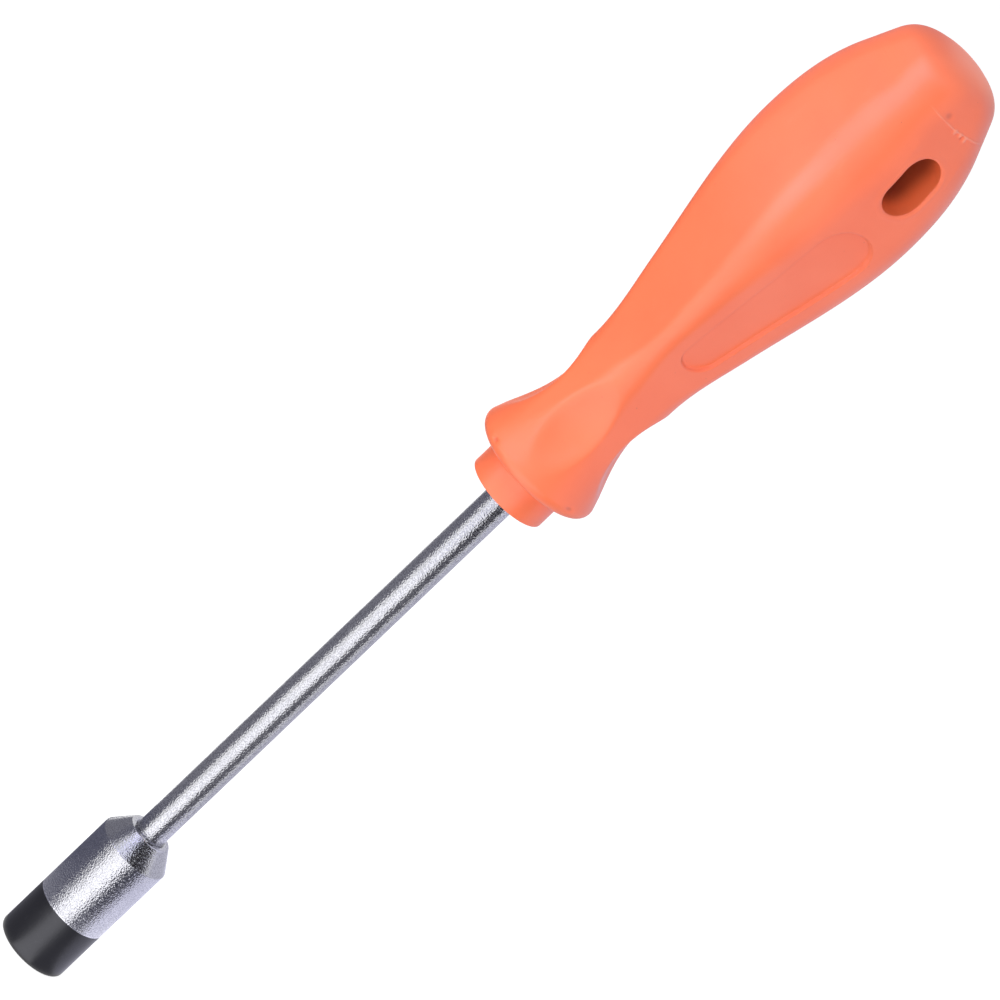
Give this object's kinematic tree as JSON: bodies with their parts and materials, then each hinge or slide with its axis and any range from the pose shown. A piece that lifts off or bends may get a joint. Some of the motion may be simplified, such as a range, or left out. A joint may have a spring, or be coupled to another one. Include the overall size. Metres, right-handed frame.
{
  "type": "nut driver",
  "caption": "Nut driver with a deep hexagon socket on a round steel shank, fixed in an orange plastic grip with a guard, thumb dents, a recessed panel and a hang hole.",
  "frame": {"origin": "centre of the socket's mouth, on the tool's axis", "axes": "+Z along the tool's axis from the mouth to the butt of the handle, with the tool standing on its socket, +Y along the hang hole away from the recessed face, +X to the right of that face"},
  "size_m": [0.0292, 0.0292, 0.2377],
  "materials": {
    "orange_plastic": "fine moulded satin",
    "shank_steel": "satin plated",
    "socket_steel": "satin plated, with a blackened nose"
  },
  "bodies": {
    "root": {"handle": "orange_plastic", "shank": "shank_steel", "socket": "socket_steel"}
  },
  "joints": []
}
